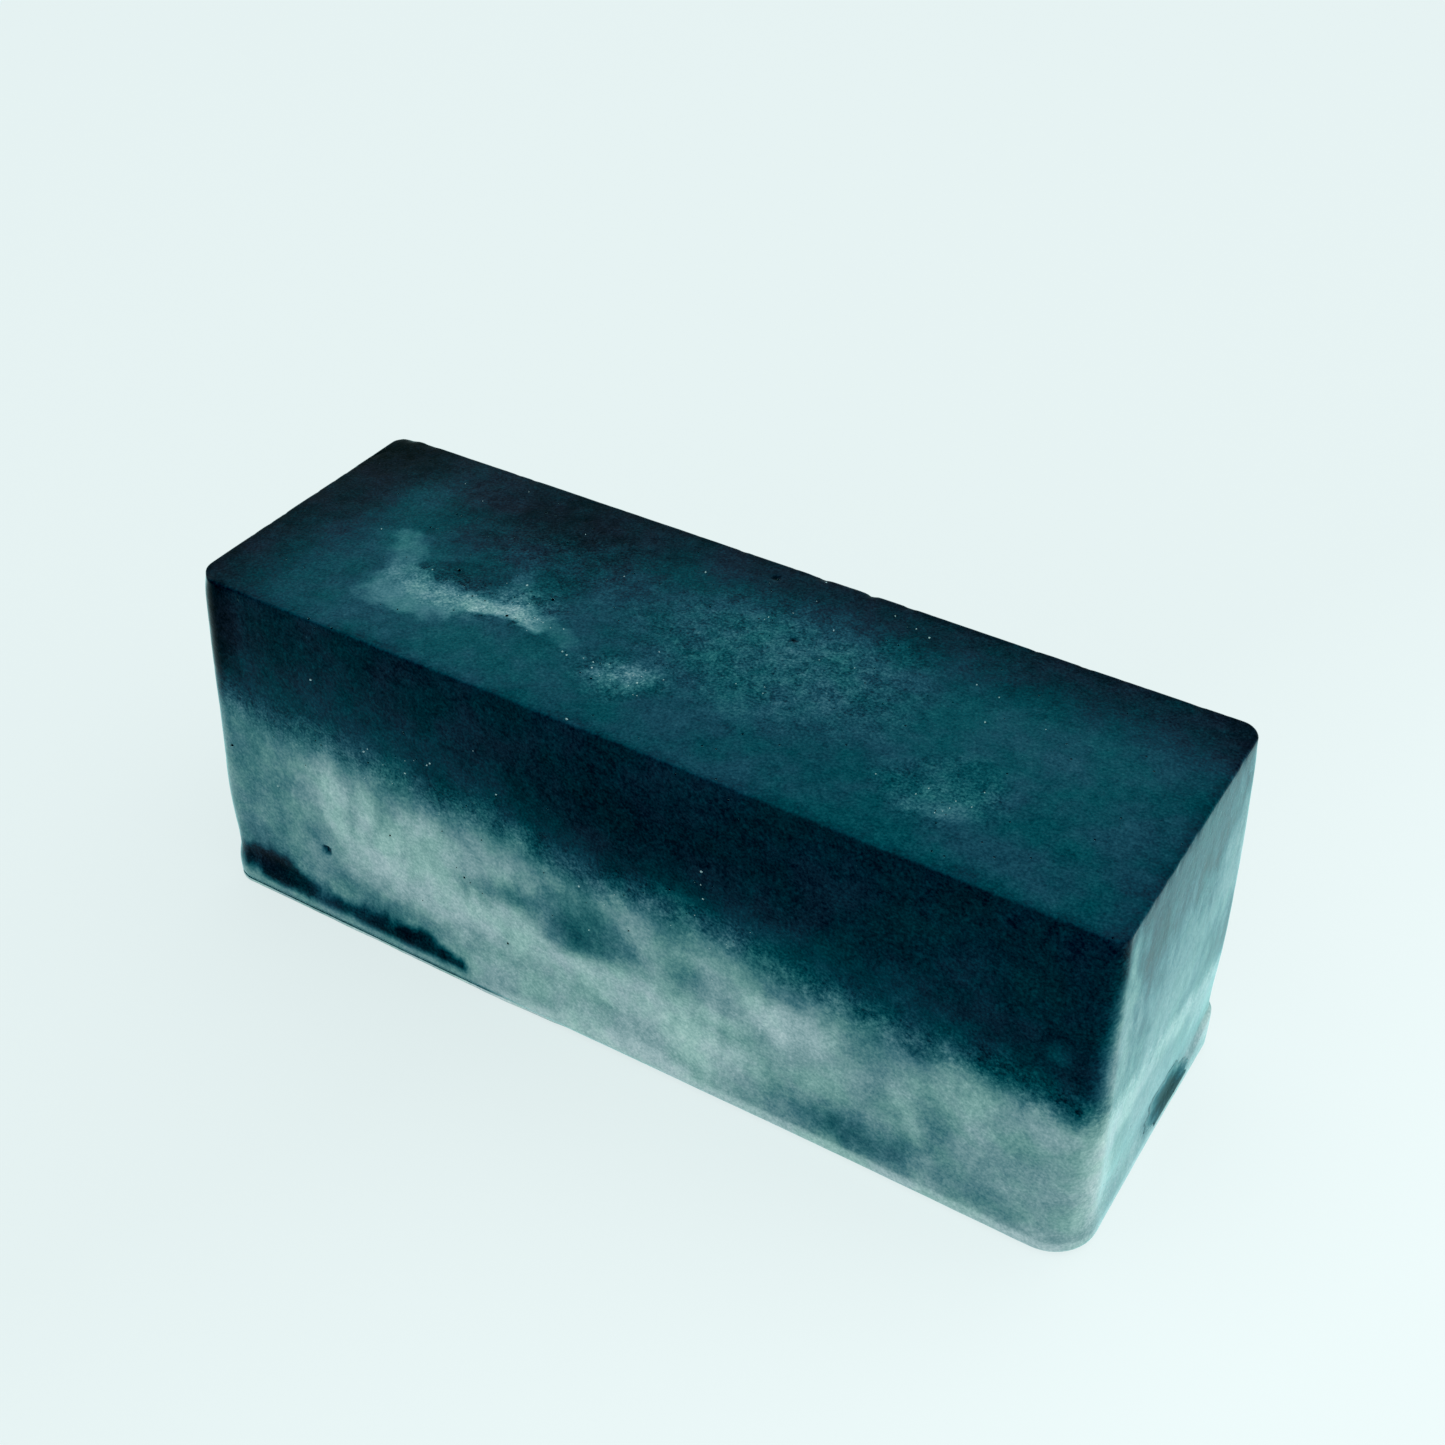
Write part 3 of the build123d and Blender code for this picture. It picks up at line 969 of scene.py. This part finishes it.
def cast_colour(nodes, place, tone, toned):
    """A tone's colour, tinted by a slow drift of hue, which is strongest on the charcoal."""
    hue = nodes.noise(place, HUE_SCALE, 3.0, 0.6)
    paleness = nodes.math("MULTIPLY_ADD", tone, 5.0, -1.2, clamp=True)
    tint = nodes.mix_colour("MIX", paleness, nodes.ramp(hue, DARK_TINTS), nodes.ramp(hue, PALE_TINTS))
    return nodes.mix_colour("MULTIPLY", 1.0, nodes.ramp(toned, TONE_COLOURS), tint)


def cast_material(name, dust=1.0, gloss=GLOSS):
    """Cast charcoal and binder: toned by the skin's pattern, grained, flaked, pored and dusty."""
    nodes = Nodes(name)
    where = nodes.add("ShaderNodeTexCoord").outputs["Object"]
    place = nodes.vector_math("SCALE", {0: where, "Scale": 1 / MM})[0]
    tone, broken_up = nodes.attribute("tone"), nodes.attribute("broken")
    grain = nodes.noise(place, GRAIN_SCALE, 2.0, 0.6)
    speckle = nodes.noise(place, SPECKLE_SCALE, 3.0, 0.65)
    mottle = nodes.noise(place, MOTTLE_SCALE, 4.0, 0.6)
    pores = nodes.pores(place, PORE_SCALE, PORE_RADIUS)
    bent = nodes.bent(place, 1.5, 0.8)
    large, small = [nodes.cells(bent, scale) for scale in FLAKE_SCALES]
    flakes = nodes.math("MULTIPLY_ADD", small, 0.7, large)
    flaked = nodes.math("MULTIPLY", nodes.math("SUBTRACT", flakes, 0.85), broken_up)

    toned = nodes.swung(tone, grain, 0.5, nodes.math("MULTIPLY_ADD", broken_up, 0.42, 0.12))
    toned = nodes.swung(toned, speckle, 0.5, 0.10)
    toned = nodes.swung(toned, mottle, 0.5, 0.08)
    toned = nodes.math("MULTIPLY_ADD", flaked, 0.11, toned)
    # painted shade inside the pores
    toned = nodes.math("MULTIPLY", toned, nodes.math("SUBTRACT", 1.0, nodes.math("MULTIPLY", pores, 0.6)))

    height = nodes.math("MULTIPLY_ADD", mottle, 0.5, nodes.math("MULTIPLY", speckle, 0.7))
    height = nodes.math("MULTIPLY_ADD", grain, 0.25, height)
    height = nodes.math("MULTIPLY_ADD", flaked, 0.4, height)
    height = nodes.math("SUBTRACT", height, pores)
    bump = nodes.add("ShaderNodeBump", {"Height": height, "Strength": 0.6, "Distance": BUMP_DEPTH * MM})

    shader = nodes.add("ShaderNodeBsdfPrincipled", {
        "Base Color": cast_colour(nodes, place, tone, toned),
        "Roughness": nodes.math("MULTIPLY_ADD", mottle, 0.12, 0.16),
        "Normal": bump.outputs["Normal"],
        "IOR": gloss,
        "Specular Tint": GLOSS_TINT,
        "Sheen Weight": dust,
        "Sheen Roughness": 0.24,
        "Sheen Tint": DUST_TINT,
    })
    nodes.add("ShaderNodeOutputMaterial", {"Surface": shader.outputs["BSDF"]})
    return nodes.material


# --- The room -------------------------------------------------------------------------------------------

ROOM_COLOUR = (0.81, 0.905, 0.905, 1)
CAMERA_AZIMUTH = math.radians(30.99)
CAMERA_ELEVATION = math.radians(38.01)
CAMERA_ROLL = math.radians(-0.69)
CAMERA_DISTANCE = 148.3
CAMERA_SLIDE = (-1.575, 6.55)  # how far right of the view's centre and how far below it the block sits
LENS, SENSOR_WIDTH = 48.2, 36.0
FLOOR_GLOW, FLOOR_GLOW_LEAST, FLOOR_GLOW_MOST = 0.797, 0.792, 0.88  # under the block, and its limits
FLOOR_GAIN = (1.45, -0.55, 0.0)  # how fast the glow grows along X and Y, for each metre
FLOOR_PAINT = (0.15, 0.16, 0.16, 1)
FLOOR_RADIUS = 6.0  # in metres
BLACK_LEVEL = (0.007, 0.008, 0.008)  # crushes the darkest tones, as the photo does
SOFT_BOX_PLACE, SOFT_BOX_SIZE, SOFT_BOX_WATTS = (0.18, 0.12, 0.60), 0.5, 1.2  # in metres
SOFT_BOX_AIM, SOFT_BOX_COLOUR = (0, 0, 0.015), (0.95, 1.0, 1.0)


def camera():
    """A camera that looks down at the block's near corner."""
    ca, sa = math.cos(CAMERA_AZIMUTH), math.sin(CAMERA_AZIMUTH)
    ce, se = math.cos(CAMERA_ELEVATION), math.sin(CAMERA_ELEVATION)
    ahead = -Vector((sa * ce, -ca * ce, se))
    level_right = ahead.cross(Vector((0, 0, 1))).normalized()
    level_down = ahead.cross(level_right)
    right = math.cos(CAMERA_ROLL) * level_right + math.sin(CAMERA_ROLL) * level_down
    down = ahead.cross(right)
    middle = Vector((0, 0, HEIGHT / 2))
    place = middle - CAMERA_SLIDE[0] * right - CAMERA_SLIDE[1] * down - CAMERA_DISTANCE * ahead
    data = bpy.data.cameras.new("camera")
    data.sensor_width, data.lens = SENSOR_WIDTH, LENS
    data.clip_start, data.clip_end = 0.01, 50.0
    eye = bpy.data.objects.new("camera", data)
    eye.matrix_world = Matrix.Translation(place * MM) @ Matrix((right, -down, -ahead)).transposed().to_4x4()
    bpy.context.scene.collection.objects.link(eye)
    bpy.context.scene.camera = eye


def floor():
    """A plain pale floor that glows a little, so the block's shadow on it stays faint."""
    nodes = Nodes("floor_paint")
    where = nodes.add("ShaderNodeTexCoord").outputs["Object"]
    gained = nodes.vector_math("DOT_PRODUCT", {0: where, 1: FLOOR_GAIN})["Value"]
    level = nodes.math("MAXIMUM", nodes.math("ADD", gained, FLOOR_GLOW), FLOOR_GLOW_LEAST)
    level = nodes.math("MINIMUM", level, FLOOR_GLOW_MOST)
    glow = nodes.add("ShaderNodeEmission", {"Color": ROOM_COLOUR, "Strength": level})
    paint = nodes.add("ShaderNodeBsdfDiffuse", {"Color": FLOOR_PAINT})
    both = nodes.add("ShaderNodeAddShader", {0: glow.outputs[0], 1: paint.outputs[0]})
    nodes.add("ShaderNodeOutputMaterial", {"Surface": both.outputs[0]})
    bpy.ops.mesh.primitive_circle_add(vertices=96, radius=FLOOR_RADIUS, fill_type="NGON")
    ground = bpy.context.object
    ground.name = "floor"
    ground.data.materials.append(nodes.material)


def soft_box():
    """A square soft light that looks down at the block."""
    data = bpy.data.lights.new("soft_box", "AREA")
    data.size, data.energy, data.color = SOFT_BOX_SIZE, SOFT_BOX_WATTS, SOFT_BOX_COLOUR
    light = bpy.data.objects.new("soft_box", data)
    light.location = SOFT_BOX_PLACE
    light.rotation_euler = (Vector(SOFT_BOX_AIM) - Vector(SOFT_BOX_PLACE)).to_track_quat("-Z", "Y").to_euler()
    bpy.context.scene.collection.objects.link(light)


def studio():
    """Even pale light from all round, with one soft box above."""
    scene = bpy.context.scene
    scene.view_settings.view_transform = "Standard"
    scene.view_settings.use_curve_mapping = True
    curves = scene.view_settings.curve_mapping
    curves.black_level = BLACK_LEVEL
    curves.update()
    world = bpy.data.worlds.new("studio")
    world.use_nodes = True
    background = world.node_tree.nodes["Background"]
    background.inputs["Color"].default_value = ROOM_COLOUR
    background.inputs["Strength"].default_value = 1.0
    scene.world = world
    soft_box()


# --- Everything -----------------------------------------------------------------------------------------

camera()
floor()
studio()
charcoal, binder = cast_material("cast_charcoal"), cast_material("cast_binder")
layer_piece("charcoal_block", upper_rows(), True, charcoal, "charcoal_layer")
layer_piece("pale_block", lower_rows(), False, binder, "pale_layer")
flash_lip(cast_material("cast_flash"))
end_stain(cast_material("stain_paint", STAIN_DUST, STAIN_GLOSS))
grit()
